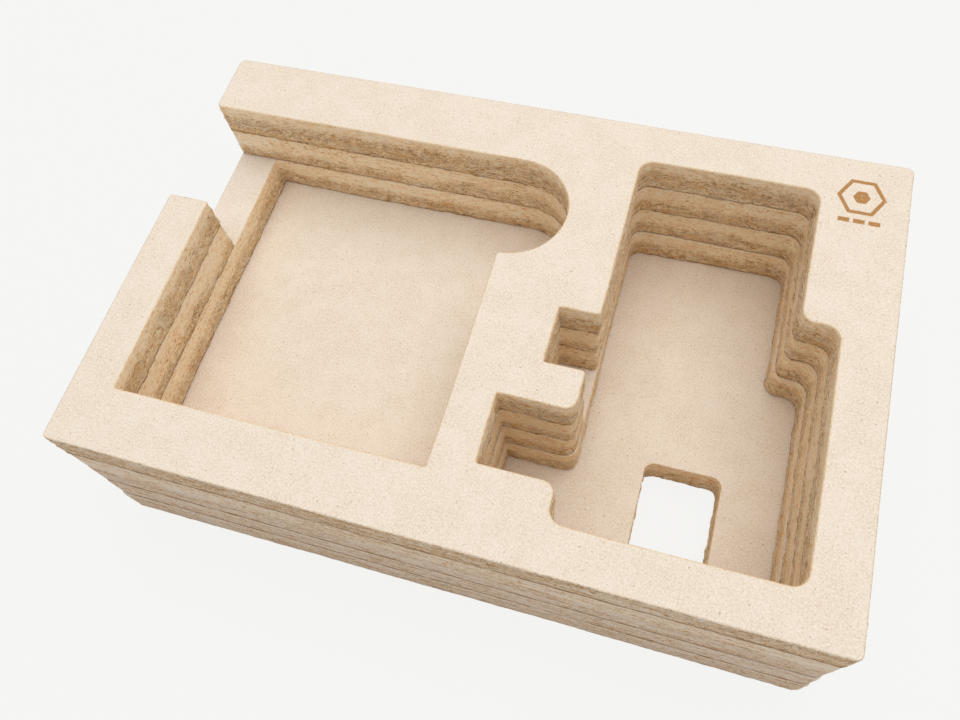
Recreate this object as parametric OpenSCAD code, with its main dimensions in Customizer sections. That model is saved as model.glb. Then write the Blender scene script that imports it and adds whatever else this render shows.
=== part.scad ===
// Shipping insert built up from five cellulose fibre sheets, cut by die and glued face to face.
// It holds two things in two pockets. Notches beside the pockets leave room for fingers and cables,
// and a window in the base sheet lets the right pocket's load be pushed up from below.
// The origin is the middle of the underside. X runs along the long side, Y to the back, Z up.
// The pockets and the walls around them set the size of the block.

/* [Sheets] */
// Thickness of one sheet
sheet_t = 10; // [5:0.5:20]
// Radius of the block's upright corners
corner_r = 1.5; // [0.5:0.1:5]

/* [Left pocket] */
// Wall between the block's left side and the left pocket
left_wall = 11; // [6:0.5:25]
// Wall in front of the left pocket
left_front_wall = 15.3; // [8:0.1:30]
// Wall behind the left pocket
left_back_wall = 17.1; // [8:0.1:30]
// Length of the left pocket along X
left_pocket_w = 75.1; // [45:0.1:140]
// Length of the left pocket along Y
left_pocket_d = 82.6; // [62:0.1:140]
// Radius of the round end at the left pocket's back right corner
round_end_r = 13.7; // [6:0.1:18]
// Length of the notch through the left wall, from the pocket's back
side_notch_l = 29.5; // [10:0.5:55]

/* [Right pocket] */
// Wall in front of the right pocket
right_front_wall = 10.5; // [6:0.1:25]
// Wall behind the right pocket
right_back_wall = 11; // [6:0.1:25]
// Wall between the right pocket and the block's right side
right_wall = 11.2; // [6:0.1:25]
// Length of the right pocket along X at its wide front part
right_pocket_w = 51.3; // [44:0.1:120]
// Length of the wide front part along Y
wide_part_l = 58.2; // [46:0.1:64]
// Width of the step between the wide and the narrow part
step_w = 8.6; // [6.5:0.1:14]
// Radius of the right pocket's inner corners
pocket_r = 3.5; // [1:0.1:5]
// Radius of the sheet corners that stick out into the right pocket
edge_r = 2.7; // [0.5:0.1:3]

/* [Finger notches] */
// Web left between the left pocket and the lower notch
notch_web = 10; // [6:0.1:25]
// Depth of the lower notch, from the right pocket into the rib
lower_notch_depth = 17.4; // [12:0.1:30]
// Depth of the upper notch, from the right pocket into the rib
upper_notch_depth = 9.5; // [5:0.1:12]
// Distance from the right pocket's front wall to the lower notch
notch_gap = 8.5; // [8:0.1:10]
// Length of the lower notch along Y
lower_notch_l = 16.4; // [8:0.1:20]
// Length of the tooth between the two notches
tooth_l = 9.9; // [6:0.1:14]
// Length of the upper notch along Y
upper_notch_l = 14.2; // [8:0.1:20]

/* [Window] */
// Length of the window in the base sheet along X
window_w = 20.2; // [8:0.1:24]
// Length of the window along Y
window_l = 25.6; // [8:0.1:34]
// Distance from the right pocket's left side to the window
window_left = 16.7; // [6:0.1:20]
// Distance from the right pocket's front wall to the window
window_gap = 7; // [4:0.1:15]
// Radius of the window's corners
window_r = 3; // [0.5:0.1:4]

/* [Hidden] */
$fn = 48;

// How far a cut runs past the face that it opens
cut = 1;
fibre_tan = [0.93, 0.87, 0.78];

rib_w = notch_web + lower_notch_depth;
block_w = left_wall + left_pocket_w + rib_w + right_pocket_w + right_wall;
block_d = left_front_wall + left_pocket_d + left_back_wall;

left_x0 = left_wall - block_w / 2;
left_x1 = left_x0 + left_pocket_w;
left_y0 = left_front_wall - block_d / 2;
left_y1 = left_y0 + left_pocket_d;

right_x0 = left_x1 + rib_w;
right_x1 = right_x0 + right_pocket_w;
narrow_x1 = right_x1 - step_w;
right_y0 = right_front_wall - block_d / 2;
right_y1 = block_d / 2 - right_back_wall;
step_y = right_y0 + wide_part_l;

lower_y0 = right_y0 + notch_gap;
lower_y1 = lower_y0 + lower_notch_l;
upper_y0 = lower_y1 + tooth_l;
upper_y1 = upper_y0 + upper_notch_l;

window_x0 = right_x0 + window_left;
window_y0 = right_y0 + window_gap;

// Rectangle from [x0, y0] to [x1, y1] with round corners
module rounded_area(x0, y0, x1, y1, r) {
    translate([x0 + r, y0]) square([x1 - x0 - 2 * r, y1 - y0]);
    translate([x0, y0 + r]) square([x1 - x0, y1 - y0 - 2 * r]);
    for (x = [x0 + r, x1 - r], y = [y0 + r, y1 - r])
        translate([x, y]) circle(r = r);
}

// Area from [x0, y0] to [x1, y1] with sharp corners
module area(x0, y0, x1, y1) {
    translate([x0, y0]) square([x1 - x0, y1 - y0]);
}

// Rounds off a sheet corner at [x, y] that sticks out into a pocket.
// side_x and side_y are 1 or -1 and point from the corner into the sheet.
module corner_relief(x, y, side_x, side_y) {
    difference() {
        area(min(x, x + side_x * edge_r), min(y, y + side_y * edge_r),
            max(x, x + side_x * edge_r), max(y, y + side_y * edge_r));
        translate([x + side_x * edge_r, y + side_y * edge_r]) circle(r = edge_r);
    }
}

module block_outline() {
    rounded_area(-block_w / 2, -block_d / 2, block_w / 2, block_d / 2, corner_r);
}

// Left pocket with its round end at the back right
module left_pocket_outline() {
    area(left_x0, left_y0, left_x1, left_y1);
    translate([left_x1, left_y1 - round_end_r]) circle(r = round_end_r);
}

// Opening from the left pocket through the left wall
module side_notch_outline() {
    area(-block_w / 2 - cut, left_y1 - side_notch_l, left_x0 + cut, left_y1);
}

// Right pocket: a narrow back part and a wide front part
module right_pocket_outline() {
    rounded_area(right_x0, right_y0, narrow_x1, right_y1, pocket_r);
    rounded_area(right_x0, right_y0, right_x1, step_y, pocket_r);
    corner_relief(narrow_x1, step_y, 1, 1);
}

// Front notch, from the right pocket into the rib
module lower_notch_outline() {
    area(right_x0 - lower_notch_depth, lower_y0, right_x0 + cut, lower_y1);
    corner_relief(right_x0, lower_y1, -1, 1);
    corner_relief(right_x0, lower_y0, -1, -1);
}

// Back notch, beyond the tooth
module upper_notch_outline() {
    area(right_x0 - upper_notch_depth, upper_y0, right_x0 + cut, upper_y1);
}

module window_outline() {
    rounded_area(window_x0, window_y0, window_x0 + window_w, window_y0 + window_l, window_r);
}

// One sheet of the stack, counted from 0 at the bottom, cut out along its children
module sheet(index) {
    color(fibre_tan)
        translate([0, 0, index * sheet_t])
            linear_extrude(height = sheet_t)
                difference() {
                    block_outline();
                    children();
                }
}

// Closes both pockets from below, apart from the window
module base_sheet() {
    sheet(0) window_outline();
}

// Floor of the left pocket and of the upper notch
module second_sheet() {
    sheet(1) {
        right_pocket_outline();
        lower_notch_outline();
    }
}

// Floor of the side notch
module third_sheet() {
    sheet(2) {
        left_pocket_outline();
        right_pocket_outline();
        lower_notch_outline();
        upper_notch_outline();
    }
}

// Sheet with every pocket and notch cut through it
module upper_sheet(index) {
    sheet(index) {
        left_pocket_outline();
        side_notch_outline();
        right_pocket_outline();
        lower_notch_outline();
        upper_notch_outline();
    }
}

module fourth_sheet() {
    upper_sheet(3);
}

module top_sheet() {
    upper_sheet(4);
}

base_sheet();
second_sheet();
third_sheet();
fourth_sheet();
top_sheet();
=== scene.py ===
# %% [markdown]
# # A shipping insert of pressed fibre sheets
#
# The real object is a block of packing: five sheets of cellulose foam, which is paper pulp pressed into a
# light board. A steel die cuts each sheet, and glue holds them face to face. Cut out areas line up into two
# pockets, three finger notches and a window.
#
# Its look comes from two finishes. The pressed faces are pale, flat and flecked with short fibres. The cut
# edges are brown: smooth where the blade entered, torn and fibrous where the board gave way. This lesson
# builds each sheet from its outline with Geometry Nodes, and the finishes from shader node groups.

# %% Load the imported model
import math

import bmesh
import bpy
from mathutils import Euler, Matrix
from mathutils import Vector


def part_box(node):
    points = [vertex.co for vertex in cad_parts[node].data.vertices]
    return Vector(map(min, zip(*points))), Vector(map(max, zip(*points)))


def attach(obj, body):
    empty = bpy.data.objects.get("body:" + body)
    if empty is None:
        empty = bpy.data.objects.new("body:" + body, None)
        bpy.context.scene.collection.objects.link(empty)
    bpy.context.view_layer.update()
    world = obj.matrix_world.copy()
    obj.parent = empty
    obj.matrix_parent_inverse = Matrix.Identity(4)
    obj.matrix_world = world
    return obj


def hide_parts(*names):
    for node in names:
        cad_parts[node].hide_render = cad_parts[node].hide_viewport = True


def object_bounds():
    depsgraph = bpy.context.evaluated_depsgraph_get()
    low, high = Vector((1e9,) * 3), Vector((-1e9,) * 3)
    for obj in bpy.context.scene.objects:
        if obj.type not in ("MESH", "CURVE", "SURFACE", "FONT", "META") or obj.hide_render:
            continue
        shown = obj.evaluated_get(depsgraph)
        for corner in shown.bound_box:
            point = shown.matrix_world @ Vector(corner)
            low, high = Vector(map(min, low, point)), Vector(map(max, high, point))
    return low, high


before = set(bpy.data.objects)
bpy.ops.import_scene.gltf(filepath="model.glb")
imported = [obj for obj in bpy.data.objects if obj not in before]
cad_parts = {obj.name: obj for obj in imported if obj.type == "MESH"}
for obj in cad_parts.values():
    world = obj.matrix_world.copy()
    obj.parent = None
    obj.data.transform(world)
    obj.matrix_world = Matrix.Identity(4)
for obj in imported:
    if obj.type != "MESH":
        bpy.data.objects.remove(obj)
cad_low, cad_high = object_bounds()
SHEETS = ["base_sheet", "second_sheet", "third_sheet", "fourth_sheet", "top_sheet"]
print("CAD box in mm:", [round(1000 * side, 1) for side in cad_high - cad_low])

# %% [markdown]
# ## Camera
#
# The photograph looks down into the pockets from the front. The camera's place and turn were fitted to the
# straight edges of the block, so they are plain numbers here. The lens follows from the focal length in
# pixels over the picture's width.

# %% Camera
PICTURE_WIDTH = 960
FOCAL_PIXELS = 861.36
SENSOR = 36.0
CAMERA_PLACE = (0.04025, -0.09148, 0.22100)
CAMERA_TURN = (0.4539, 0.0873, 0.2860)


def make_camera():
    """Puts a camera where the photograph was taken from."""
    data = bpy.data.cameras.new("camera")
    data.sensor_fit = "HORIZONTAL"
    data.sensor_width = SENSOR
    data.lens = FOCAL_PIXELS / PICTURE_WIDTH * SENSOR
    data.clip_start = 0.01
    data.clip_end = 20.0
    camera = bpy.data.objects.new("camera", data)
    camera.location = CAMERA_PLACE
    camera.rotation_euler = Euler(CAMERA_TURN, "XYZ")
    bpy.context.scene.collection.objects.link(camera)
    bpy.context.scene.camera = camera
    return camera


camera = make_camera()
print("lens in mm:", round(camera.data.lens, 2))

# %% [markdown]
# ## A short way to build node trees
#
# Shapes and finishes are both node trees here. This small class adds a node, sets its settings, and either
# sets an input to a value or links it to another node's output. Common sums get a line each.

# %% Tree builder
MM = 0.001
GROUP_NODES = {"GeometryNodeTree": "GeometryNodeGroup", "ShaderNodeTree": "ShaderNodeGroup"}


class Tree:
    """A node tree with short ways to add and link its nodes."""

    def __init__(self, tree):
        self.tree = tree

    def feed(self, socket, value):
        """Links a socket to another node's output, or sets its value."""
        if isinstance(value, bpy.types.NodeSocket):
            self.tree.links.new(value, socket)
        else:
            socket.default_value = value

    def add(self, kind, inputs=None, **settings):
        """Adds a node with its settings, then its inputs by name or number."""
        node = self.tree.nodes.new(kind)
        for name, value in settings.items():
            setattr(node, name, value)
        for key, value in (inputs or {}).items():
            self.feed(node.inputs[key], value)
        return node

    def math(self, operation, *values, clamp=False):
        """A sum on single numbers."""
        node = self.add("ShaderNodeMath", dict(enumerate(values)), operation=operation, use_clamp=clamp)
        return node.outputs[0]

    def vector(self, operation, *values):
        """A sum on vectors. A length or dot product is a single number."""
        node = self.add("ShaderNodeVectorMath", dict(enumerate(values)), operation=operation)
        single = operation in ("LENGTH", "DOT_PRODUCT", "DISTANCE")
        return node.outputs["Value" if single else "Vector"]

    def scaled(self, vector, factor):
        """A vector times one number."""
        node = self.add("ShaderNodeVectorMath", {0: vector, "Scale": factor}, operation="SCALE")
        return node.outputs["Vector"]

    def smooth(self, value, low, high, bottom=0.0, top=1.0):
        """Runs smoothly from bottom, where value is low, to top, where it is high."""
        inputs = {"Value": value, "From Min": low, "From Max": high, "To Min": bottom, "To Max": top}
        return self.add("ShaderNodeMapRange", inputs, interpolation_type="SMOOTHSTEP").outputs["Result"]

    def noise(self, place, detail=2.0, roughness=0.5, seed=None):
        """Soft random values around a half, one feature per unit of place."""
        inputs = {"Vector": place, "Scale": 1.0, "Detail": detail, "Roughness": roughness}
        if seed is None:
            return self.add("ShaderNodeTexNoise", inputs, noise_dimensions="3D").outputs[0]
        inputs["W"] = seed
        return self.add("ShaderNodeTexNoise", inputs, noise_dimensions="4D").outputs[0]

    def mix(self, share, first, second):
        """A colour between two colours."""
        return self.add("ShaderNodeMix", {0: share, 6: first, 7: second}, data_type="RGBA").outputs[2]

    def ramp(self, value, stops):
        """A colour from a row of stops, each a value and its colour."""
        node = self.add("ShaderNodeValToRGB", {0: value})
        elements = node.color_ramp.elements
        while len(elements) < len(stops):
            elements.new(0.5)
        for element, (position, colour) in zip(elements, stops):
            element.position = position
            element.color = colour
        return node.outputs["Color"]

    def combine(self, **sides):
        """A vector from its sides. A side that isn't given is zero."""
        return self.add("ShaderNodeCombineXYZ", sides).outputs[0]

    def split(self, vector):
        """A vector's sides, under the names X, Y and Z."""
        return self.add("ShaderNodeSeparateXYZ", {0: vector}).outputs

    def recall(self, name, data_type="FLOAT"):
        """A value that was kept on the geometry under a name."""
        node = self.add("GeometryNodeInputNamedAttribute", {"Name": name}, data_type=data_type)
        return node.outputs["Attribute"]

    def place_group(self, group, **values):
        """Places a group and feeds its inputs, whose names have spaces for underscores."""
        inputs = {label.replace("_", " "): value for label, value in values.items()}
        return self.add(GROUP_NODES[group.bl_idname], inputs, node_tree=group).outputs


SOCKET_KINDS = {
    "geometry": "NodeSocketGeometry",
    "number": "NodeSocketFloat",
    "whole": "NodeSocketInt",
    "vector": "NodeSocketVector",
    "colour": "NodeSocketColor",
    "material": "NodeSocketMaterial",
}


def new_group(name, kind, inputs, outputs):
    """A node group with named sockets. Returns its Tree, its input node and its output node."""
    group = bpy.data.node_groups.new(name, kind)
    for label, socket_kind in inputs.items():
        group.interface.new_socket(label, in_out="INPUT", socket_type=SOCKET_KINDS[socket_kind])
    for label, socket_kind in outputs.items():
        group.interface.new_socket(label, in_out="OUTPUT", socket_type=SOCKET_KINDS[socket_kind])
    tree = Tree(group)
    return tree, tree.add("NodeGroupInput").outputs, tree.add("NodeGroupOutput").inputs


print("node helpers ready, sockets:", ", ".join(SOCKET_KINDS))

# %% [markdown]
# ## Outlines
#
# The die's outline of a sheet is the rim of its top face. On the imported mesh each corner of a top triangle
# knows its neighbour across the edge, so where that neighbour is an upright wall, the edge is on the rim.
# Walking the rim in the triangles' own direction keeps the board on the left, for the outer rim and for
# holes alike. The nodes below rely on this to know which way is out.

# %% Read the outlines from the sheets
JOINED = 1e-6
POCKET_CORNER_SHARE = 0.2


def rim_loops(node):
    """The rims of a sheet's top face, each a list of points with the board on its left."""
    solid = bmesh.new()
    solid.from_mesh(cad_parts[node].data)
    bmesh.ops.remove_doubles(solid, verts=solid.verts, dist=JOINED)
    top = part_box(node)[1].z
    step = {}
    for face in solid.faces:
        if face.normal.z < 0.5 or face.calc_center_median().z < top - JOINED:
            continue
        for corner in face.loops:
            if corner.link_loop_radial_next.face.normal.z < 0.5:
                step[corner.vert.index] = corner.link_loop_next.vert.index
    solid.verts.ensure_lookup_table()
    loops = []
    while step:
        at = next(iter(step))
        rim = []
        while at in step:
            rim.append(solid.verts[at].co.copy())
            at = step.pop(at)
        loops.append(rim)
    solid.free()
    return loops


def turns_left(before, corner, after):
    """Whether the rim turns left at a corner, so that the board sticks out there."""
    return (corner - before).cross(after - corner).z > 0.0


def outline_object(node):
    """A curve object with the sheet's rims, at the height of the sheet's underside.

    A point's radius is the share of the corner radius that it gets: corners that stick out are
    rounder than corners of a pocket, because they are rubbed and the pocket's are as sharp as the blade.
    """
    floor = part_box(node)[0].z
    data = bpy.data.curves.new(node + "_outline", "CURVE")
    data.dimensions = "3D"
    for rim in rim_loops(node):
        spline = data.splines.new("POLY")
        spline.points.add(len(rim) - 1)
        spline.use_cyclic_u = True
        for number, point in enumerate(spline.points):
            place = rim[number]
            point.co = (place.x, place.y, floor, 1.0)
            sticks_out = turns_left(rim[number - 1], place, rim[(number + 1) % len(rim)])
            point.radius = 1.0 if sticks_out else POCKET_CORNER_SHARE
    outline = bpy.data.objects.new(node + "_outline", data)
    bpy.context.scene.collection.objects.link(outline)
    return outline


outlines = {node: outline_object(node) for node in SHEETS}
for node, outline in outlines.items():
    print(node, "rims:", [len(spline.points) for spline in outline.data.splines])

# %% [markdown]
# ## Loose fibres
#
# A torn edge ends in short fibres that lie along the cut and stand a little proud of it. Each is a bent,
# tapered thread with a few dozen faces. They repeat by the thousand, so Geometry Nodes scatter them: points
# on the wall, denser where it is torn, a thread on each, turned along the cut with some scatter. The lip
# and the foot of the wall have none. The block's outer sides have few, because rubbing takes them off.

# %% Loose fibre nodes
THREAD_LENGTH = 1.8 * MM
THREAD_WIDTH = 0.2 * MM
THREAD_SIDES = 3
THREAD_STEPS = 3
THREAD_BEND = 0.16
THREAD_TAPER = 0.8
THREAD_SWAY = (0.25, 0.25, 0.4)
THREAD_SIZES = (0.45, 1.25)
# Height shares over which the threads start above the foot and end below the lip
THREAD_START = (0.06, 0.12)
THREAD_END = (0.97, 0.85)
OUTER_THREAD_SHARE = 0.12


def fibre_tree():
    """A group that scatters threads over a cut wall, which carries the attributes along and torn."""
    tree, given, made = new_group(
        "loose_fibres",
        "GeometryNodeTree",
        {
            "Wall": "geometry",
            "Threads per Area": "number",
            "Length": "number",
            "Width": "number",
            "Seed": "whole",
        },
        {"Threads": "geometry"},
    )
    height = tree.recall("height")
    allowed = tree.math("MULTIPLY", tree.smooth(height, *THREAD_START), tree.smooth(height, *THREAD_END))
    rubbed = tree.smooth(tree.recall("trimmed"), 0.0, 1.0, 1.0, OUTER_THREAD_SHARE)
    allowed = tree.math("MULTIPLY", allowed, rubbed)
    allowed = tree.math("MULTIPLY", tree.recall("torn"), allowed)
    density = tree.math("MULTIPLY", given["Threads per Area"], allowed)
    scattered = tree.add(
        "GeometryNodeDistributePointsOnFaces",
        {"Mesh": given["Wall"], "Density": density, "Seed": given["Seed"]},
        distribute_method="RANDOM",
    )
    half = tree.math("MULTIPLY", given["Length"], 0.5)
    bend = tree.math("MULTIPLY", given["Length"], THREAD_BEND)
    ends = {
        "Resolution": THREAD_STEPS,
        "Start": tree.combine(X=tree.math("MULTIPLY", half, -1.0)),
        "Middle": tree.combine(Y=bend, Z=bend),
        "End": tree.combine(X=half),
    }
    arc = tree.add("GeometryNodeCurveQuadraticBezier", ends)
    factor = tree.add("GeometryNodeSplineParameter").outputs["Factor"]
    from_middle = tree.math("ABSOLUTE", tree.math("MULTIPLY_ADD", factor, 2.0, -1.0))
    taper = tree.math("SUBTRACT", 1.0, tree.math("MULTIPLY", from_middle, THREAD_TAPER))
    ring = {"Resolution": THREAD_SIDES, "Radius": tree.math("MULTIPLY", given["Width"], 0.5)}
    ring = tree.add("GeometryNodeCurvePrimitiveCircle", ring)
    thread = tree.add(
        "GeometryNodeCurveToMesh",
        {"Curve": arc.outputs[0], "Profile Curve": ring.outputs["Curve"], "Scale": taper, "Fill Caps": True},
    )
    sway = {0: [-side for side in THREAD_SWAY], 1: THREAD_SWAY, "Seed": given["Seed"]}
    sway = tree.add("FunctionNodeRandomValue", sway, data_type="FLOAT_VECTOR")
    heading = tree.vector("ADD", tree.recall("along", "FLOAT_VECTOR"), sway.outputs[0])
    turned = tree.add("FunctionNodeAlignRotationToVector", {"Vector": heading}, axis="X")
    turned = tree.add(
        "FunctionNodeAlignRotationToVector",
        {"Rotation": turned.outputs[0], "Vector": tree.recall("outward", "FLOAT_VECTOR")},
        axis="Z",
        pivot_axis="X",
    )
    size = {2: THREAD_SIZES[0], 3: THREAD_SIZES[1], "Seed": given["Seed"]}
    size = tree.add("FunctionNodeRandomValue", size, data_type="FLOAT").outputs[1]
    placed = tree.add(
        "GeometryNodeInstanceOnPoints",
        {
            "Points": scattered.outputs["Points"],
            "Instance": thread.outputs[0],
            "Rotation": turned.outputs[0],
            "Scale": size,
        },
    )
    whole = tree.add("GeometryNodeRealizeInstances", {0: placed.outputs[0]})
    tree.feed(made["Threads"], whole.outputs[0])
    return tree.tree


loose_fibres = fibre_tree()
print(loose_fibres.name, "has", len(loose_fibres.nodes), "nodes")

# %% [markdown]
# ## One die-cut sheet
#
# A sheet follows a rule, so one tree makes all five. A wall is swept up from the outline in fine rows and
# columns, then moved in and out along the outline's own normal:
#
# - the top lip is rolled over by the blade
# - towards its foot the cut draws in a little, and the foot itself is painted dark as the shade of the seam
#   above the next sheet
# - the lower part is torn: it swells out in places, with shallow ridges and small lumps on it
# - the whole outline wanders by a fraction of a millimetre, in its own way on each sheet
# - the block's outer sides are trimmed straighter than the pockets. They are found by two things together:
#   the place is near one of them, and the wall there faces out of the block
#
# The masks that the finishes need, such as torn, trimmed and the seam's painted shade, are kept on the mesh
# under their names.
# Then the open rims are filled for the two pressed faces and merged to the wall, so the sheet is closed.

# %% How a cut edge stands out
BLOCK_HALF = ((cad_high.x - cad_low.x) / 2, (cad_high.y - cad_low.y) / 2, 0.0)
# Distance past an outer side, and how squarely a wall faces out, over which a wall becomes trimmed
OUTER_BAND = (-5.0 * MM, -3.0 * MM)
OUTER_FACING = (0.3, 0.65)
# What is left of the roughness, the swelling and the draw on a trimmed wall
TRIMMED_ROUGH = 0.5
TRIMMED_SWELL = 0.15
TRIMMED_DRAW = 0.3
# Height share of the seam's painted shade in a pocket and on a trimmed wall
SEAM_SHADE_HEIGHTS = (0.08, 0.17)
# Half the height share over which the cut turns from smooth to torn, and how far that border strays
TORN_BLEND = 0.22
BORDER_STRAY = 0.8
# Features per metre of each noise, across the sheet and up
BORDER_SCALE = 60.0
WANDER_SCALE = 16.0
STREAK_SCALE = (160.0, 160.0, 800.0)
LUMP_SCALE = (430.0, 430.0, 1500.0)
SWELL_SCALE = (330.0, 330.0, 120.0)
NOISE_MIDDLE = 0.53


def outer_side(tree, place, outward):
    """Mask of the block's four outer sides, for places near a side whose wall faces out of the block."""
    past = tree.vector("SUBTRACT", tree.vector("ABSOLUTE", place), BLOCK_HALF)
    facing = tree.vector("MULTIPLY", tree.vector("SIGN", place), outward)
    past = tree.split(past)
    facing = tree.split(facing)
    found = []
    for axis in ("X", "Y"):
        near = tree.smooth(past[axis], *OUTER_BAND)
        found.append(tree.math("MULTIPLY", near, tree.smooth(facing[axis], *OUTER_FACING)))
    return tree.math("MAXIMUM", *found)


def rolled_inset(tree, distance, radius):
    """Inset of a round edge at a distance from the face."""
    inside = tree.math("MAXIMUM", tree.math("SUBTRACT", radius, distance), 0.0)
    inside = tree.math("MULTIPLY", inside, inside)
    square = tree.math("SUBTRACT", tree.math("MULTIPLY", radius, radius), inside)
    return tree.math("SUBTRACT", radius, tree.math("SQRT", tree.math("MAXIMUM", square, 0.0)))


def cut_profile(tree, given, height, place, outward):
    """How far the cut stands out at a height share from 0 to 1, and the values that its finish reads."""
    seed = tree.math("MULTIPLY", given["Seed"], 7.31)
    level = tree.math("MULTIPLY", height, given["Thickness"])
    flat = tree.vector("MULTIPLY", place, (1.0, 1.0, 0.0))

    def fading(share):
        """Falls from one in a pocket to a share on a trimmed wall."""
        return tree.smooth(trimmed, 0.0, 1.0, 1.0, share)

    border = tree.noise(tree.scaled(flat, BORDER_SCALE), detail=4.0, roughness=0.6, seed=seed)
    border = tree.math("MULTIPLY_ADD", tree.math("SUBTRACT", border, 0.5), BORDER_STRAY, given["Torn Share"])
    torn = tree.smooth(tree.math("SUBTRACT", height, border), TORN_BLEND, -TORN_BLEND)
    trimmed = outer_side(tree, place, outward)
    half_calm = fading(TRIMMED_ROUGH)
    rough = tree.math("MULTIPLY", torn, half_calm)

    wander = tree.noise(tree.scaled(flat, WANDER_SCALE), detail=1.0, seed=tree.math("ADD", seed, 3.0))
    wander = tree.math("MULTIPLY", tree.math("SUBTRACT", wander, 0.5), half_calm)
    wander = tree.math("MULTIPLY_ADD", wander, given["Waviness"], given["Outset"])

    streak = tree.vector("MULTIPLY", place, STREAK_SCALE)
    streak = tree.noise(streak, detail=3.0, roughness=0.6, seed=seed)
    lump = tree.vector("MULTIPLY", place, LUMP_SCALE)
    lump = tree.noise(lump, detail=2.0, roughness=0.6, seed=seed)
    streak = tree.math("SUBTRACT", streak, NOISE_MIDDLE)
    tear = tree.math("ADD", streak, tree.math("SUBTRACT", lump, NOISE_MIDDLE))
    lip_free = tree.smooth(height, 0.99, 0.9)
    strength = tree.math("MULTIPLY_ADD", rough, 0.85, 0.15)
    strength = tree.math("MULTIPLY", strength, lip_free)
    strength = tree.math("MULTIPLY", strength, half_calm)
    tear = tree.math("MULTIPLY", tear, strength)

    swell = tree.vector("MULTIPLY", place, SWELL_SCALE)
    swell = tree.noise(swell, detail=2.0, seed=tree.math("ADD", seed, 5.0))
    swell = tree.smooth(swell, 0.35, 0.7)
    swell = tree.math("MULTIPLY", swell, tree.math("MULTIPLY", rough, tree.smooth(height, 0.0, 0.2)))
    swell = tree.math("MULTIPLY", swell, fading(TRIMMED_SWELL))

    lip = rolled_inset(tree, tree.math("SUBTRACT", given["Thickness"], level), given["Lip Radius"])
    draw = tree.math("POWER", tree.math("SUBTRACT", 1.0, height), 3.0)
    draw = tree.math("MULTIPLY", draw, given["Draw In"])
    draw = tree.math("MULTIPLY", draw, fading(TRIMMED_DRAW))
    inset = tree.math("ADD", lip, draw)
    stand = tree.math("MULTIPLY_ADD", tear, given["Tear Depth"], wander)
    stand = tree.math("MULTIPLY_ADD", swell, given["Swell"], stand)

    # Painted shade: the foot of the wall is darkened where the seam between sheets lies in shade, higher up
    # on a trimmed wall
    seam_shade_top = tree.smooth(trimmed, 0.0, 1.0, *SEAM_SHADE_HEIGHTS)
    seam = tree.smooth(height, seam_shade_top, tree.math("MULTIPLY", seam_shade_top, 0.25))
    lip_share = tree.math("DIVIDE", given["Lip Radius"], given["Thickness"])
    skin_from = tree.math("MULTIPLY_ADD", lip_share, -0.9, 1.0)
    skin_full = tree.math("MULTIPLY_ADD", lip_share, -0.3, 1.0)
    values = {
        "torn": tree.add("ShaderNodeMix", {0: trimmed, 2: torn, 3: given["Side Torn"]}).outputs[0],
        "tear": tree.math("MULTIPLY", tear, 2.0),
        "skin": tree.smooth(height, skin_from, skin_full),
        "seam": tree.math("MULTIPLY", seam, fading(given["Side Seam Shade"])),
        "trimmed": trimmed,
        # Painted light: how strongly a trimmed outer side is greyed for the white surroundings that light it
        "painted_sky_grey": tree.math("MULTIPLY", trimmed, given["Painted Sky Grey"]),
    }
    return tree.math("SUBTRACT", stand, inset), values


print("half the block in mm:", [round(side / MM, 1) for side in BLOCK_HALF[:2]])

# %% [markdown]
# The sweep needs a rail and a riser. The rail is the outline with rounded corners, cut into short steps.
# The riser is a line as tall as the sheet is thick, with its rows closest at the lip and the foot, where
# the shape turns fastest. Each point of the wall keeps the rail's direction and its own height share, so
# the profile above can be worked out there.

# %% Die-cut sheet nodes
CORNER_POINTS = 3
ROW_CROWDING = 0.7


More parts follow.
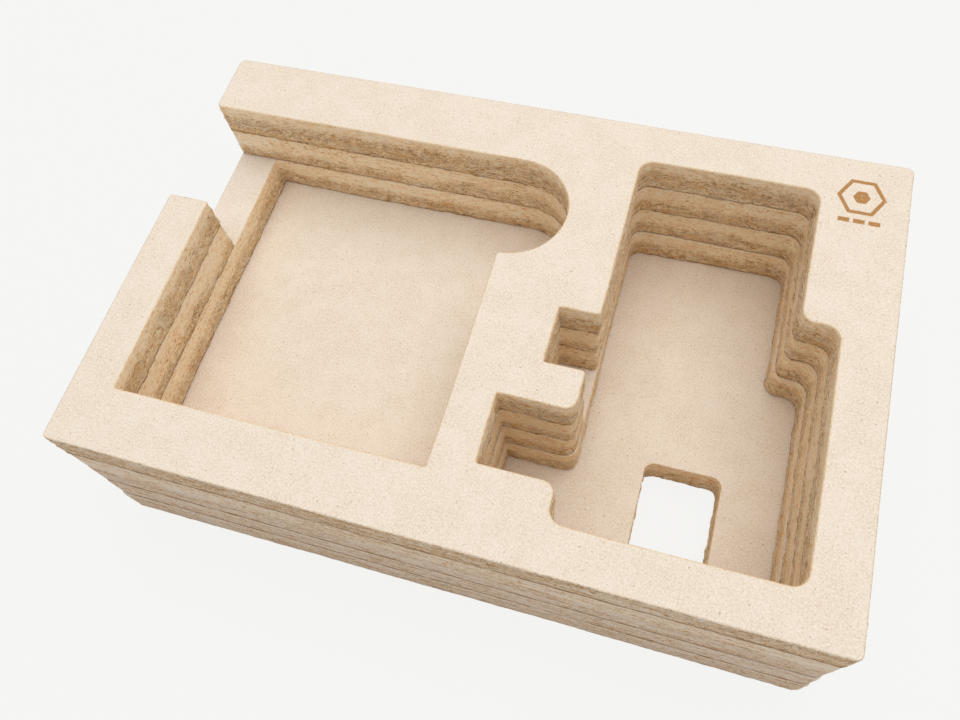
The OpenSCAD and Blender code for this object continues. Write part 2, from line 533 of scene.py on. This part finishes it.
def sheet_tree():
    """The whole sheet: wall, two pressed faces and loose fibres."""
    tree, given, made = new_group(
        "die_cut_sheet",
        "GeometryNodeTree",
        {
            "Outline": "geometry",
            "Thickness": "number",
            "Column Width": "number",
            "Rows": "whole",
            "Corner Radius": "number",
            "Lip Radius": "number",
            "Draw In": "number",
            "Swell": "number",
            "Outset": "number",
            "Waviness": "number",
            "Tear Depth": "number",
            "Torn Share": "number",
            "Painted Sky Grey": "number",
            "Side Torn": "number",
            "Side Seam Shade": "number",
            "Threads per Area": "number",
            "Seed": "whole",
            "Top Finish": "material",
            "Face Finish": "material",
            "Cut Finish": "material",
        },
        {"Sheet": "geometry"},
    )

    def single(kind, inputs=None, **settings):
        """Adds a node and gives its first output."""
        return tree.add(kind, inputs, **settings).outputs[0]

    def store(geometry, name, value, data_type="FLOAT", domain="POINT"):
        """Keeps a value on the geometry under a name."""
        inputs = {"Geometry": geometry, "Name": name, "Value": value}
        return single("GeometryNodeStoreNamedAttribute", inputs, data_type=data_type, domain=domain)

    def is_over(value, limit):
        """Whether a number is over a limit."""
        inputs = {0: value, 1: limit}
        return single("FunctionNodeCompare", inputs, data_type="FLOAT", operation="GREATER_THAN")

    radius = tree.math("MULTIPLY", single("GeometryNodeInputRadius"), given["Corner Radius"])
    inputs = {"Curve": given["Outline"], "Radius": radius, "Limit Radius": True, "Count": CORNER_POINTS}
    rail = single("GeometryNodeFilletCurve", inputs, mode="POLY")
    inputs = {"Curve": rail, "Length": given["Column Width"]}
    rail = single("GeometryNodeResampleCurve", inputs, mode="LENGTH")
    rail = single("GeometryNodeSetCurveNormal", {"Curve": rail}, mode="Z_UP")
    tangent = single("GeometryNodeInputTangent")
    rail = store(rail, "along", tangent, "FLOAT_VECTOR")
    rail = store(rail, "outward", tree.vector("CROSS_PRODUCT", tangent, (0.0, 0.0, 1.0)), "FLOAT_VECTOR")

    # The sweep turns a profile's +Y downwards, so the riser runs towards -Y to stand up
    top = tree.combine(Y=given["Thickness"])
    riser = single("GeometryNodeCurvePrimitiveLine", {"Start": (0.0, 0.0, 0.0), "End": top})
    riser = single("GeometryNodeResampleCurve", {"Curve": riser, "Count": given["Rows"]}, mode="COUNT")
    share = tree.add("GeometryNodeSplineParameter").outputs["Factor"]
    crowd = tree.math("SINE", tree.math("MULTIPLY", share, 2.0 * math.pi))
    share = tree.math("SUBTRACT", share, tree.math("MULTIPLY", crowd, ROW_CROWDING / (2.0 * math.pi)))
    riser = store(riser, "height", share)
    height = tree.recall("height")
    drop = tree.math("MULTIPLY", tree.math("MULTIPLY", height, given["Thickness"]), -1.0)
    riser = single("GeometryNodeSetPosition", {"Geometry": riser, "Position": tree.combine(Y=drop)})

    wall = single("GeometryNodeCurveToMesh", {"Curve": rail, "Profile Curve": riser, "Fill Caps": False})
    wall = single("GeometryNodeFlipFaces", {"Mesh": wall})
    place = single("GeometryNodeInputPosition")
    outward = tree.recall("outward", "FLOAT_VECTOR")
    stand, values = cut_profile(tree, given, height, place, outward)
    for name, value in values.items():
        wall = store(wall, name, value)
    wall = single("GeometryNodeSetPosition", {"Geometry": wall, "Offset": tree.scaled(outward, stand)})
    wall = single("GeometryNodeSetShadeSmooth", {"Geometry": wall, "Shade Smooth": True})

    open_edge = {2: single("GeometryNodeInputMeshEdgeNeighbors"), 3: 1}
    open_edge = single("FunctionNodeCompare", open_edge, data_type="INT", operation="EQUAL")
    extent = {"Geometry": wall, 2: place}
    extent = tree.add("GeometryNodeAttributeStatistic", extent, data_type="FLOAT_VECTOR")

    def pressed_face(at_top):
        """Fills the wall's open rim at the top or bottom."""
        side = is_over(height, 0.5)
        if not at_top:
            side = single("FunctionNodeBooleanMath", {0: side}, operation="NOT")
        rim = single("FunctionNodeBooleanMath", {0: open_edge, 1: side}, operation="AND")
        rim = single("GeometryNodeMeshToCurve", {"Mesh": wall, "Selection": rim})
        face = single("GeometryNodeFillCurve", {"Curve": rim}, mode="TRIANGLES")
        level = tree.split(extent.outputs["Max" if at_top else "Min"])["Z"]
        face = single("GeometryNodeTransform", {"Geometry": face, "Translation": tree.combine(Z=level)})
        if not at_top:
            face = single("GeometryNodeFlipFaces", {"Mesh": face})
        face = single("GeometryNodeSetShadeSmooth", {"Geometry": face, "Shade Smooth": False})
        face = store(face, "skin", 1.0 if at_top else 0.0)
        return store(face, "pressed", 2.0 if at_top else 1.0, domain="FACE")

    def joined(parts):
        """One geometry from several."""
        join = tree.add("GeometryNodeJoinGeometry")
        for part in parts:
            tree.tree.links.new(part, join.inputs[0])
        return join.outputs[0]

    shell = joined((pressed_face(False), pressed_face(True), wall))
    shell = single("GeometryNodeMergeByDistance", {"Geometry": shell, "Distance": JOINED})

    threads = tree.place_group(
        loose_fibres,
        Wall=wall,
        Threads_per_Area=given["Threads per Area"],
        Length=THREAD_LENGTH,
        Width=THREAD_WIDTH,
        Seed=given["Seed"],
    )
    loose = store(threads[0], "loose", 1.0)

    sheet = single("GeometryNodeRealizeInstances", {0: joined((loose, shell))})
    for name in ("along", "outward"):
        sheet = single("GeometryNodeRemoveAttribute", {"Geometry": sheet, "Name": name})
    pressed = tree.recall("pressed")
    sheet = single("GeometryNodeSetMaterial", {"Geometry": sheet, "Material": given["Cut Finish"]})
    for limit, finish in ((0.5, "Face Finish"), (1.5, "Top Finish")):
        inputs = {"Geometry": sheet, "Selection": is_over(pressed, limit), "Material": given[finish]}
        sheet = single("GeometryNodeSetMaterial", inputs)
    tree.feed(made["Sheet"], sheet)
    return tree.tree


die_cut_sheet = sheet_tree()
print(die_cut_sheet.name, "has", len(die_cut_sheet.nodes), "nodes")

# %% [markdown]
# ## Finishes
#
# Both finishes start from the same pressed skin, because a cut edge is rolled over at its top and shows skin
# there. Groups give colours, masks and heights only. The shaders stay in the materials. Every pattern
# reads Object coordinates in metres, so a scale of 1000 means one feature in each millimetre.

# %% Shared finish: pulp mottling
def mottle_group():
    """Soft cloudy variation of pulp: one mask for colour, one for height."""
    tree, given, made = new_group(
        "pulp_mottling",
        "ShaderNodeTree",
        {"Place": "vector", "Cloud Scale": "number", "Grain Scale": "number"},
        {"Cloud": "number", "Grain": "number"},
    )
    cloud = tree.noise(tree.scaled(given["Place"], given["Cloud Scale"]), detail=3.0, roughness=0.6)
    grain = tree.noise(tree.scaled(given["Place"], given["Grain Scale"]), detail=2.0, roughness=0.7)
    tree.feed(made["Cloud"], cloud)
    tree.feed(made["Grain"], grain)
    return tree.tree


pulp_mottling = mottle_group()
print(pulp_mottling.name, "ready")

# %% [markdown]
# Short fibres lie in the pressed face in every direction. A Voronoi texture splits the face into cells, and
# each cell's random colour turns one stroke inside it. That is far cheaper than modelling each fibre, and
# they are too flat to need it.

# %% Shared finish: fibre strokes
def stroke_group():
    """One straight short stroke in each cell of the face, at a random turn."""
    tree, given, made = new_group(
        "fibre_strokes",
        "ShaderNodeTree",
        {"Place": "vector", "Cells per Metre": "number", "Length": "number", "Width": "number"},
        {"Stroke": "number", "Tint": "number"},
    )
    place = tree.scaled(given["Place"], given["Cells per Metre"])
    cells = tree.add("ShaderNodeTexVoronoi", {"Vector": place, "Scale": 1.0}, voronoi_dimensions="2D")
    random = tree.add("ShaderNodeSeparateColor", {0: cells.outputs["Color"]}).outputs
    local = tree.vector("SUBTRACT", place, cells.outputs["Position"])
    turn = tree.math("MULTIPLY", random[0], 2.0 * math.pi)
    local = tree.add("ShaderNodeVectorRotate", {"Vector": local, "Angle": turn}, rotation_type="Z_AXIS")
    sides = tree.split(local.outputs[0])
    bend = tree.math("MULTIPLY", tree.math("MULTIPLY", sides["X"], sides["X"]), 0.5)
    across = tree.math("ABSOLUTE", tree.math("SUBTRACT", sides["Y"], bend))
    along = tree.math("ABSOLUTE", sides["X"])
    narrow = tree.smooth(across, given["Width"], tree.math("MULTIPLY", given["Width"], 0.2))
    short = tree.smooth(along, given["Length"], tree.math("MULTIPLY", given["Length"], 0.6))
    tree.feed(made["Stroke"], tree.math("MULTIPLY", narrow, short))
    tree.feed(made["Tint"], random[1])
    return tree.tree


fibre_strokes = stroke_group()
print(fibre_strokes.name, "ready")

# %% [markdown]
# The pressed skin adds them up: a pale ground with faint clouds, fine grain, brown and light strokes, and a
# few dark specks of bark.

# %% Shared finish: pressed skin
SKIN = (0.850, 0.715, 0.570, 1.0)
SKIN_WARM = (0.790, 0.640, 0.485, 1.0)
SKIN_LIGHT = (0.955, 0.860, 0.750, 1.0)
STROKE_BROWN = (0.640, 0.470, 0.310, 1.0)
SPECK_DARK = (0.420, 0.290, 0.180, 1.0)
# Cells per metre of the clouds, the grain and the specks
CLOUD_CELLS = 170.0
GRAIN_CELLS = 2300.0
SPECK_CELLS = 420.0
GRAIN_HEIGHT = 0.035 * MM
STROKE_HEIGHT = 0.02 * MM
# Cells per metre, length and width in cells, strength, colour and shift of each layer of strokes
STROKE_LAYERS = (
    (850.0, 0.40, 0.15, 0.30, STROKE_BROWN, 0.0),
    (1200.0, 0.42, 0.20, 0.60, SKIN_LIGHT, 3.7),
    (520.0, 0.34, 0.08, 0.22, STROKE_BROWN, 9.1),
)


def skin_group():
    """Colour, roughness and height of the pressed face."""
    tree, given, made = new_group(
        "pressed_skin",
        "ShaderNodeTree",
        {"Place": "vector"},
        {"Colour": "colour", "Roughness": "number", "Height": "number"},
    )
    scales = {"Cloud_Scale": CLOUD_CELLS, "Grain_Scale": GRAIN_CELLS}
    mottling = tree.place_group(pulp_mottling, Place=given["Place"], **scales)
    cloud = tree.smooth(mottling["Cloud"], 0.35, 0.65)
    grain = tree.smooth(mottling["Grain"], 0.32, 0.68)
    colour = tree.mix(cloud, SKIN, SKIN_WARM)
    colour = tree.mix(tree.math("MULTIPLY", grain, 0.9), colour, SKIN_LIGHT)
    height = tree.math("MULTIPLY", grain, GRAIN_HEIGHT)

    for cells, length, width, amount, tint, shift in STROKE_LAYERS:
        place = tree.vector("ADD", given["Place"], (shift, 0.6 * shift, 0.0))
        sizes = {"Cells_per_Metre": cells, "Length": length, "Width": width}
        strokes = tree.place_group(fibre_strokes, Place=place, **sizes)
        seen = tree.math("MULTIPLY", strokes["Stroke"], strokes["Tint"])
        colour = tree.mix(tree.math("MULTIPLY", seen, amount), colour, tint)
        height = tree.math("MULTIPLY_ADD", seen, STROKE_HEIGHT, height)

    bark = {"Vector": given["Place"], "Scale": SPECK_CELLS}
    bark = tree.add("ShaderNodeTexVoronoi", bark, voronoi_dimensions="2D")
    pick = tree.add("ShaderNodeSeparateColor", {0: bark.outputs["Color"]}).outputs
    ragged = tree.math("SUBTRACT", mottling["Grain"], 0.5)
    ragged = tree.math("MULTIPLY_ADD", ragged, 0.3, bark.outputs["Distance"])
    small = tree.smooth(ragged, 0.10, 0.03)
    chosen = tree.smooth(pick[0], 0.4, 0.9)
    speck = tree.math("MULTIPLY", tree.math("MULTIPLY", small, chosen), pick[1])
    colour = tree.mix(tree.math("MULTIPLY", speck, 0.7), colour, SPECK_DARK)

    tree.feed(made["Colour"], colour)
    tree.feed(made["Roughness"], tree.smooth(grain, 0.0, 1.0, 0.86, 0.96))
    tree.feed(made["Height"], height)
    return tree.tree


pressed_skin = skin_group()
print(pressed_skin.name, "has", len(pressed_skin.nodes), "nodes")

# %% [markdown]
# The torn pulp of a cut edge is darker, because its fibres stand on end and light falls in between them. Its
# streaks run level along the cut, so its patterns are stretched: few features to the metre along the sheet,
# many across its thickness. The mesh says where it is torn and how far its relief stands out, and the colour
# is painted darker in the dents and lighter on the lumps: painted shade and painted light.

# %% Shared finish: torn pulp
CUT_PIT = (0.450, 0.255, 0.110, 1.0)
CUT_BROWN = (0.820, 0.555, 0.310, 1.0)
CUT_TAN = (0.970, 0.755, 0.500, 1.0)
CUT_PALE = (0.990, 0.885, 0.700, 1.0)
CUT_RUST = (0.840, 0.520, 0.225, 1.0)
FIBRE_TAN = (0.960, 0.780, 0.550, 1.0)
# Tones at which the ramp turns to each colour
CUT_RAMP = ((0.24, CUT_PIT), (0.42, CUT_BROWN), (0.57, CUT_TAN), (0.76, CUT_PALE))
PULP_HEIGHT = 0.4 * MM


def torn_group():
    """Colour and height of a cut edge: smooth above, torn below."""
    tree, given, made = new_group(
        "torn_pulp",
        "ShaderNodeTree",
        {"Place": "vector", "Torn": "number", "Tear": "number", "Trimmed": "number"},
        {"Colour": "colour", "Height": "number"},
    )

    def layer(level, upright, detail):
        """Noise stretched along the sheet, around zero."""
        place = tree.vector("MULTIPLY", given["Place"], (level, level, upright))
        return tree.math("SUBTRACT", tree.noise(place, detail=detail, roughness=0.65), 0.5)

    long_streak = layer(240.0, 1900.0, 2.0)
    short_streak = layer(700.0, 2500.0, 2.0)
    grain = layer(2300.0, 4200.0, 1.0)
    blotch = layer(900.0, 700.0, 1.0)
    drift = layer(45.0, 160.0, 1.0)
    texture = tree.math("MULTIPLY_ADD", long_streak, 0.6, tree.math("MULTIPLY", short_streak, 0.9))
    texture = tree.math("MULTIPLY_ADD", grain, 1.0, texture)
    texture = tree.math("MULTIPLY_ADD", blotch, 0.4, texture)
    side_streak = tree.math("MULTIPLY", layer(75.0, 1000.0, 3.0), given["Trimmed"])
    texture = tree.math("MULTIPLY_ADD", side_streak, 0.9, texture)
    contrast = tree.smooth(given["Torn"], 0.0, 1.0, 0.85, 1.25)
    contrast = tree.math("MULTIPLY_ADD", given["Trimmed"], 0.35, contrast)
    ground = tree.smooth(given["Torn"], 0.0, 1.0, 0.62, 0.55)
    tone = tree.math("MULTIPLY_ADD", texture, contrast, ground)
    tone = tree.math("MULTIPLY_ADD", drift, 0.3, tone)
    # Painted shade and light: the torn relief's dents are darker and its lumps lighter
    tone = tree.math("MULTIPLY_ADD", given["Tear"], 0.10, tone)
    colour = tree.ramp(tone, CUT_RAMP)
    rust = tree.math("MULTIPLY", tree.smooth(layer(90.0, 500.0, 2.0), -0.05, 0.2, 0.1, 0.6), given["Torn"])
    colour = tree.mix(rust, colour, CUT_RUST)
    relief = tree.smooth(given["Torn"], 0.0, 1.0, 0.35, 1.0)
    height = tree.math("MULTIPLY", texture, PULP_HEIGHT)
    tree.feed(made["Colour"], colour)
    tree.feed(made["Height"], tree.math("MULTIPLY", height, relief))
    return tree.tree


torn_pulp = torn_group()
print(torn_pulp.name, "has", len(torn_pulp.nodes), "nodes")

# %% [markdown]
# A small brown mark is printed near one corner of the top sheet: a hexagon in outline, a smaller solid one
# inside it and three short bars below. The ink is a mask from distances, roughened by grain because ink
# misses the low fibres.

# %% Printed mark
MARK_PLACE = (77.2 * MM, 46.6 * MM, 0.0)
MARK_RADIUS = 4.4 * MM
MARK_LINE = 0.9 * MM
MARK_DOT = 1.7 * MM
BAR_SIZE = (1.3 * MM, 0.6 * MM)
BAR_PITCH = 3.4 * MM
BAR_DROP = 6.9 * MM
INK_EDGE = 0.1 * MM
INK_WOBBLE = 0.25 * MM
INK = (0.480, 0.225, 0.060, 1.0)


def mark_group():
    """Mask of the printed mark."""
    tree, given, made = new_group("printed_mark", "ShaderNodeTree", {"Place": "vector"}, {"Ink": "number"})
    local = tree.vector("SUBTRACT", given["Place"], MARK_PLACE)
    wobble = tree.noise(tree.scaled(given["Place"], 1400.0), detail=2.0)
    wobble = tree.math("MULTIPLY", tree.math("SUBTRACT", wobble, 0.5), INK_WOBBLE)
    size = tree.vector("ABSOLUTE", local)
    flat_side = tree.vector("DOT_PRODUCT", size, (0.0, 1.0, 0.0))
    slant = tree.vector("DOT_PRODUCT", size, (math.cos(math.pi / 6), math.sin(math.pi / 6), 0.0))
    hexagon = tree.math("ADD", tree.math("MAXIMUM", flat_side, slant), wobble)
    ring = tree.math("ABSOLUTE", tree.math("SUBTRACT", hexagon, MARK_RADIUS))
    ring = tree.smooth(ring, MARK_LINE / 2 + INK_EDGE, MARK_LINE / 2 - INK_EDGE)
    dot = tree.smooth(hexagon, MARK_DOT + INK_EDGE, MARK_DOT - INK_EDGE)
    ink = tree.math("MAXIMUM", ring, dot)
    for number in (-1, 0, 1):
        bar = tree.vector("ABSOLUTE", tree.vector("SUBTRACT", local, (number * BAR_PITCH, -BAR_DROP, 0.0)))
        sides = tree.split(bar)
        past = [tree.math("SUBTRACT", sides[axis], size) for axis, size in zip("XY", BAR_SIZE)]
        past = tree.math("ADD", tree.math("MAXIMUM", *past), wobble)
        ink = tree.math("MAXIMUM", ink, tree.smooth(past, INK_EDGE, -INK_EDGE))
    cover = tree.noise(tree.scaled(given["Place"], 1900.0), detail=2.0)
    tree.feed(made["Ink"], tree.math("MULTIPLY", ink, tree.smooth(cover, 0.25, 0.45, 0.65, 0.97)))
    return tree.tree


printed_mark = mark_group()
print(printed_mark.name, "has", len(printed_mark.nodes), "nodes")

# %% [markdown]
# The block's outer sides are painted greyer and darker than its pockets: painted light, for the white
# surroundings that light them. The mesh says how much of that grey each wall gets, so the cut edge's
# material only mixes that tint in. The foot of a wall is painted dark brown: painted shade, where the glued
# seam lies in shade. A pocket's lips are a warmer tan than the outer ones. Faces without the print are
# painted a touch
# cooler than the top: painted light, against the warm light that the brown walls bounce onto the pocket
# floors.

# %% Materials of the pressed faces and the cut edge
# Each tint is a factor on red, green and blue
# Painted light: greys and darkens the outer sides, for the white surroundings that light them
PAINTED_SKY_GREY_TINT = (0.755, 0.740, 0.815)
# Painted light: cools the faces without the print, against the warm light the brown walls bounce onto the
# pocket floors
PAINTED_COOL_LIGHT_TINT = (1.0, 1.02, 1.05)
LIP_TINT = (1.0, 0.86, 0.68)
# Painted shade: the dark brown of the seam at the foot of each wall, where it lies in shade
SEAM_PAINTED_SHADE = (0.270, 0.145, 0.065, 1.0)
# Strength of the seam's painted shade and of the lip's colour, in a pocket and on a trimmed wall
SEAM_SHADE_SHARES = (0.62, 0.88)
LIP_SHARES = (0.6, 1.0)
LOOSE_SHARE = 0.8
# Settings of the shader for dry board: hardly any gloss, and a faint fuzz on the pressed faces
FACE_GLOSS = 0.25
FACE_SHEEN = 0.08
CUT_GLOSS = 0.08


def start_material(name, gloss, sheen):
    """A material with an empty tree, its shader and its Object coordinates."""
    material = bpy.data.materials.new(name)
    material.use_nodes = True
    material.node_tree.nodes.clear()
    tree = Tree(material.node_tree)
    settings = {"Specular IOR Level": gloss, "Sheen Weight": sheen, "Sheen Roughness": 0.6}
    shader = tree.add("ShaderNodeBsdfPrincipled", settings)
    tree.add("ShaderNodeOutputMaterial", {"Surface": shader.outputs[0]})
    place = tree.add("ShaderNodeTexCoord").outputs["Object"]
    return material, tree, shader, place


def raise_surface(tree, shader, height, strength):
    """Bump from a height in metres."""
    bump = tree.add("ShaderNodeBump", {"Height": height, "Distance": 1.0, "Strength": strength})
    tree.feed(shader.inputs["Normal"], bump.outputs[0])


def face_material(name, printed):
    """A pressed face, with or without the printed mark."""
    material, tree, shader, place = start_material(name, FACE_GLOSS, FACE_SHEEN)
    skin = tree.place_group(pressed_skin, Place=place)
    if printed:
        colour = tree.mix(tree.place_group(printed_mark, Place=place)["Ink"], skin["Colour"], INK)
    else:
        # Painted light: a cooler copy of the face colour, against the warm light the brown walls bounce onto
        # the pocket floors
        colour = tree.vector("MULTIPLY", skin["Colour"], PAINTED_COOL_LIGHT_TINT)
    tree.feed(shader.inputs["Base Color"], colour)
    tree.feed(shader.inputs["Roughness"], skin["Roughness"])
    raise_surface(tree, shader, skin["Height"], 0.8)
    return material


def cut_material():
    """A cut edge: torn pulp that turns into pressed skin at the rolled lip."""
    material, tree, shader, place = start_material("cut_edge", CUT_GLOSS, 0.0)

    def reading(name):
        """A value that the mesh carries."""
        node = tree.add("ShaderNodeAttribute", attribute_type="GEOMETRY", attribute_name=name)
        return node.outputs["Fac"]

    skin = tree.place_group(pressed_skin, Place=place)
    marks = {label: reading(label.lower()) for label in ("Torn", "Tear", "Trimmed")}
    pulp = tree.place_group(torn_pulp, Place=place, **marks)
    # Painted light: the outer sides are greyed and darkened for the white surroundings that light them
    cut = tree.mix(reading("painted_sky_grey"), pulp["Colour"], tree.vector("MULTIPLY", pulp["Colour"], PAINTED_SKY_GREY_TINT))
    trimmed = reading("trimmed")
    # Painted shade: the foot of the wall turns dark brown where the seam lies in shade
    seam_shade_share = tree.smooth(trimmed, 0.0, 1.0, *SEAM_SHADE_SHARES)
    cut = tree.mix(tree.math("MULTIPLY", reading("seam"), seam_shade_share), cut, SEAM_PAINTED_SHADE)
    cut = tree.mix(tree.math("MULTIPLY", reading("loose"), LOOSE_SHARE), cut, FIBRE_TAN)
    lip = tree.mix(trimmed, tree.vector("MULTIPLY", skin["Colour"], LIP_TINT), skin["Colour"])
    lip_share = tree.smooth(trimmed, 0.0, 1.0, *LIP_SHARES)
    colour = tree.mix(tree.math("MULTIPLY", reading("skin"), lip_share), cut, lip)
    tree.feed(shader.inputs["Base Color"], colour)
    tree.feed(shader.inputs["Roughness"], tree.smooth(reading("torn"), 0.0, 1.0, 0.9, 0.97))
    raise_surface(tree, shader, pulp["Height"], 1.0)
    return material


plain_face = face_material("pressed_face", printed=False)
printed_face = face_material("printed_face", printed=True)
cut_edge = cut_material()
print("materials:", plain_face.name, printed_face.name, cut_edge.name)

# %% [markdown]
# ## The five sheets
#
# Each sheet gets the tree as a modifier on its outline, with its own seed and its own few values, because no
# two sheets were cut quite alike: how high its cut is torn, how much painted grey its outer sides get, how
# dark the painted shade of its seam is there, and how far it stands out past the sheet above. The evaluated
# result becomes a plain mesh, the modifier goes with the outline object, and the new piece rides on the CAD
# body in place of the CAD sheet.

# %% Build the sheets
BODY = "root"
COMMON = {
    "Column Width": 0.52 * MM,
    "Rows": 21,
    "Corner Radius": 0.85 * MM,
    "Swell": 0.30 * MM,
    "Waviness": 1.0 * MM,
    "Tear Depth": 1.3 * MM,
    "Threads per Area": 900000.0,
    "Face Finish": plain_face,
    "Cut Finish": cut_edge,
}
# The inputs that differ, and each sheet's values for them
CUT_INPUTS = ("Seed", "Torn Share", "Side Torn", "Painted Sky Grey", "Side Seam Shade", "Draw In", "Lip Radius", "Outset")
CUTS = {
    "base_sheet": (1, 0.60, 0.35, 0.95, 0.3, 0.05 * MM, 0.15 * MM, 0.50 * MM),
    "second_sheet": (2, 0.60, 0.25, 1.00, 1.0, 0.05 * MM, 0.15 * MM, 0.20 * MM),
    "third_sheet": (3, 0.48, 0.25, 1.00, 1.0, 0.05 * MM, 0.20 * MM, -0.10 * MM),
    "fourth_sheet": (4, 0.42, 0.10, 0.75, 0.2, 0.05 * MM, 0.20 * MM, -0.15 * MM),
    "top_sheet": (5, 0.68, 0.80, 0.65, 0.9, 0.10 * MM, 0.30 * MM, 0.00 * MM),
}


def set_inputs(modifier, values):
    """Sets a modifier's inputs by name, through each socket's identifier."""
    for socket in modifier.node_group.interface.items_tree:
        if socket.in_out == "INPUT" and socket.name in values:
            modifier[socket.identifier] = values[socket.name]


def drop_empty_slots(mesh):
    """Takes out material slots that hold nothing, and renumbers the faces' slots."""
    filled = [material for material in mesh.materials if material]
    slots = [0] * len(mesh.polygons)
    mesh.polygons.foreach_get("material_index", slots)
    slots = [filled.index(mesh.materials[slot]) for slot in slots]
    mesh.materials.clear()
    for material in filled:
        mesh.materials.append(material)
    mesh.polygons.foreach_set("material_index", slots)


def build_sheet(node):
    """A finished sheet as one plain mesh."""
    outline = outlines[node]
    low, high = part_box(node)
    top_most = node == SHEETS[-1]
    modifier = outline.modifiers.new("sheet", "NODES")
    modifier.node_group = die_cut_sheet
    values = dict(COMMON)
    values["Thickness"] = high.z - low.z
    values.update(zip(CUT_INPUTS, CUTS[node]))
    values["Top Finish"] = printed_face if top_most else plain_face
    set_inputs(modifier, values)
    graph = bpy.context.evaluated_depsgraph_get()
    mesh = bpy.data.meshes.new_from_object(outline.evaluated_get(graph), depsgraph=graph)
    drop_empty_slots(mesh)
    mesh.name = node + "_foam"
    piece = bpy.data.objects.new(node + "_foam", mesh)
    bpy.context.scene.collection.objects.link(piece)
    bpy.data.objects.remove(outline)
    return piece


sheets = {}
for node in SHEETS:
    sheets[node] = build_sheet(node)
    mesh = sheets[node].data
    mesh.calc_loop_triangles()
    print(sheets[node].name, "triangles:", len(mesh.loop_triangles))

# %% [markdown]
# ## Floor and light
#
# The photograph has an even, nearly white ground and soft light from above. The floor is pale, and a ray
# that shows it directly sees mostly plain off-white, so it stays even and keeps a light shadow. The sky is
# at full strength where it is seen, and weaker as a light. A wide lamp above and that sky light the sheets
# at a level at which a colour renders about as it is written.

# %% Floor, lamp and sky
FLOOR_SIZE = 3.0
FLOOR_COLOUR = (0.921, 0.921, 0.905, 1.0)
FLOOR_PLAIN_SHARE = 0.93
LAMP_PLACE = Vector((0.12, 0.22, 1.3))
LAMP_SIZE = 1.5
LAMP_POWER = 10.2
SKY_STRENGTH = 0.59


def seen_ray(tree):
    """One for rays that show a surface directly, in a gloss or through glass."""
    rays = tree.add("ShaderNodeLightPath").outputs
    gloss = tree.math("MAXIMUM", rays["Is Glossy Ray"], rays["Is Transmission Ray"])
    return tree.math("MAXIMUM", rays["Is Camera Ray"], gloss)


def make_floor():
    """A wide pale floor under the block."""
    data = bpy.data.meshes.new("floor")
    side = FLOOR_SIZE / 2
    corners = [(-side, -side, 0.0), (side, -side, 0.0), (side, side, 0.0), (-side, side, 0.0)]
    data.from_pydata(corners, [], [(0, 1, 2, 3)])
    floor = bpy.data.objects.new("floor", data)
    bpy.context.scene.collection.objects.link(floor)
    material = bpy.data.materials.new("pale_floor")
    material.use_nodes = True
    material.node_tree.nodes.clear()
    tree = Tree(material.node_tree)
    matt = tree.add("ShaderNodeBsdfDiffuse", {"Color": FLOOR_COLOUR}).outputs[0]
    plain = tree.add("ShaderNodeEmission", {"Color": FLOOR_COLOUR, "Strength": 1.0}).outputs[0]
    share = tree.math("MULTIPLY", seen_ray(tree), FLOOR_PLAIN_SHARE)
    mixed = tree.add("ShaderNodeMixShader", {0: share, 1: matt, 2: plain}).outputs[0]
    tree.add("ShaderNodeOutputMaterial", {"Surface": mixed})
    floor.data.materials.append(material)
    return floor


def make_lamp():
    """A wide soft lamp nearly overhead, a little to the back right."""
    data = bpy.data.lights.new("softbox", "AREA")
    data.shape = "DISK"
    data.size = LAMP_SIZE
    data.energy = LAMP_POWER
    lamp = bpy.data.objects.new("softbox", data)
    lamp.location = LAMP_PLACE
    lamp.rotation_euler = LAMP_PLACE.to_track_quat("Z", "Y").to_euler()
    bpy.context.scene.collection.objects.link(lamp)
    return lamp


def make_sky():
    """A white sky that lights the sheets from all round."""
    world = bpy.data.worlds.new("sky")
    world.use_nodes = True
    world.node_tree.nodes.clear()
    tree = Tree(world.node_tree)
    strength = tree.math("MULTIPLY_ADD", seen_ray(tree), 1.0 - SKY_STRENGTH, SKY_STRENGTH)
    sky = tree.add("ShaderNodeBackground", {"Color": FLOOR_COLOUR, "Strength": strength})
    tree.add("ShaderNodeOutputWorld", {"Surface": sky.outputs[0]})
    bpy.context.scene.world = world
    return world


floor = make_floor()
lamp = make_lamp()
sky = make_sky()
bpy.context.scene.view_settings.view_transform = "Standard"
print(floor.name, "and", sky.name, "ready, lamp at", [round(side, 2) for side in lamp.location])

# %% [markdown]
# ## Attach
#
# Every piece is attached to the body it rides on, and the CAD sheet it stands for is hidden.

# %% Attach the sheets to the body
for node, piece in sheets.items():
    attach(piece, BODY)
    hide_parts(node)
